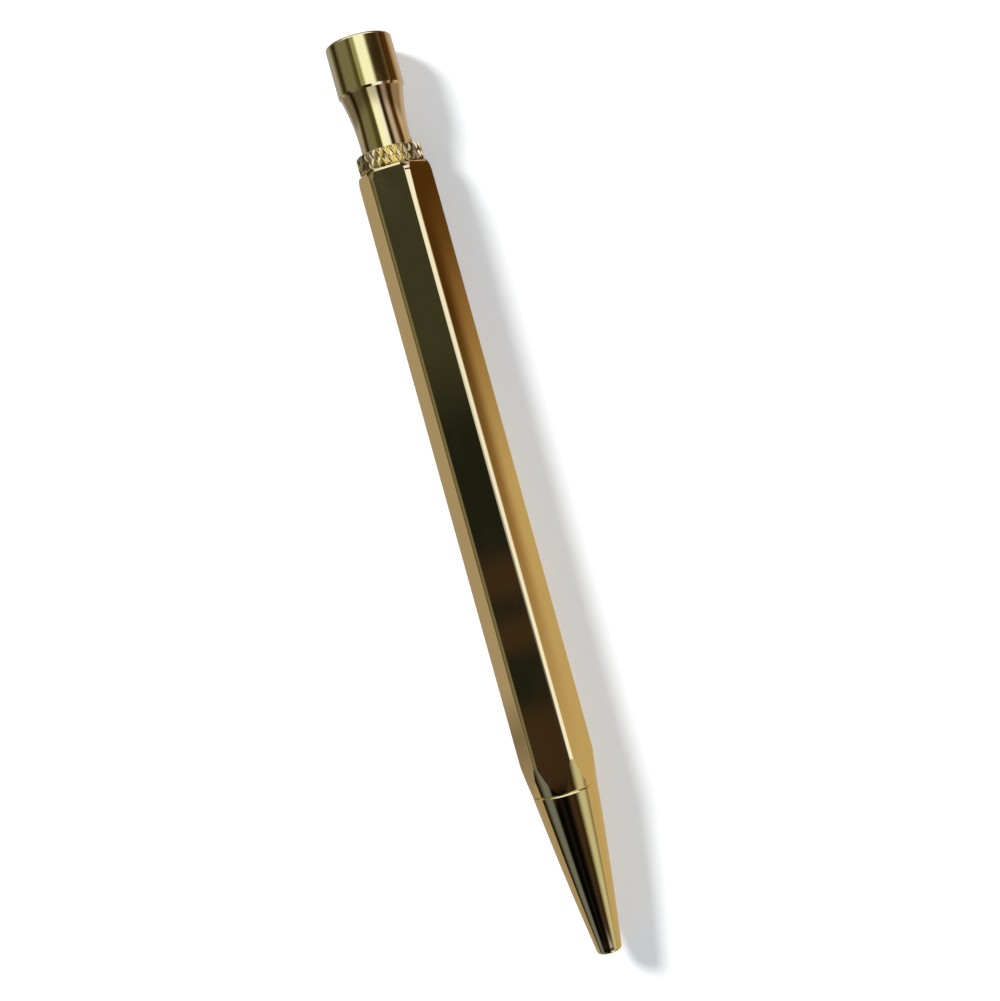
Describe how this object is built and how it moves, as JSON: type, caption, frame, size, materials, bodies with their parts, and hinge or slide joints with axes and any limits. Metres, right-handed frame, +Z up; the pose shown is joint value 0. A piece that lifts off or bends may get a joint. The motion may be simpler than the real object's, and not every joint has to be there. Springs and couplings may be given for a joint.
{
  "type": "retractable ball pen",
  "caption": "Retractable ball pen: polished six-sided barrel, turned nose cone, knurled collar and a flared push button over a cam click mechanism and a refill.",
  "frame": {"origin": "on the surface that the pen lies on, under the middle of its length", "axes": "+X along the pen towards the writing end, +Z up out of the flat it lies on, +Y across"},
  "size_m": [0.14, 0.0112, 0.01],
  "materials": {
    "polished_brass": "mirror polished",
    "machined_brass": "as turned",
    "pale_acetal": "moulded",
    "black_acetal": "moulded",
    "spring_steel": "drawn wire",
    "refill_steel": "drawn tube",
    "blue_ink": "ink paste"
  },
  "bodies": {
    "barrel_assembly": {"barrel": "polished_brass", "front_insert": "machined_brass", "knurled_collar": "polished_brass", "cam_guide": "pale_acetal"},
    "nose": {"nose_cone": "polished_brass"},
    "button": {"push_button": "polished_brass", "push_cam": "black_acetal"},
    "refill": {"rotor_cam": "black_acetal", "refill_end_cap": "pale_acetal", "refill_tube": "refill_steel", "ink_column": "blue_ink", "feed_neck": "machined_brass", "writing_point": "refill_steel", "writing_ball": "spring_steel", "return_spring": "spring_steel"}
  },
  "joints": [
    {"name": "button_press", "type": "slide", "parent": "barrel_assembly", "child": "button", "axis": [1, 0, 0], "range_m": [0, 0.0055], "stiffness_N_per_m": 350, "springref_m": -0.004},
    {"name": "refill_advance", "type": "slide", "parent": "barrel_assembly", "child": "refill", "axis": [1, 0, 0], "range_m": [0, 0.0055], "deforming": ["return_spring"]},
    {"name": "nose_unscrew", "type": "slide", "parent": "barrel_assembly", "child": "nose", "axis": [1, 0, 0], "range_m": [0, 0.0065]}
  ],
  "couplings": [
    {"joint": "refill_advance", "follows": "button_press", "ratio": 1}
  ]
}
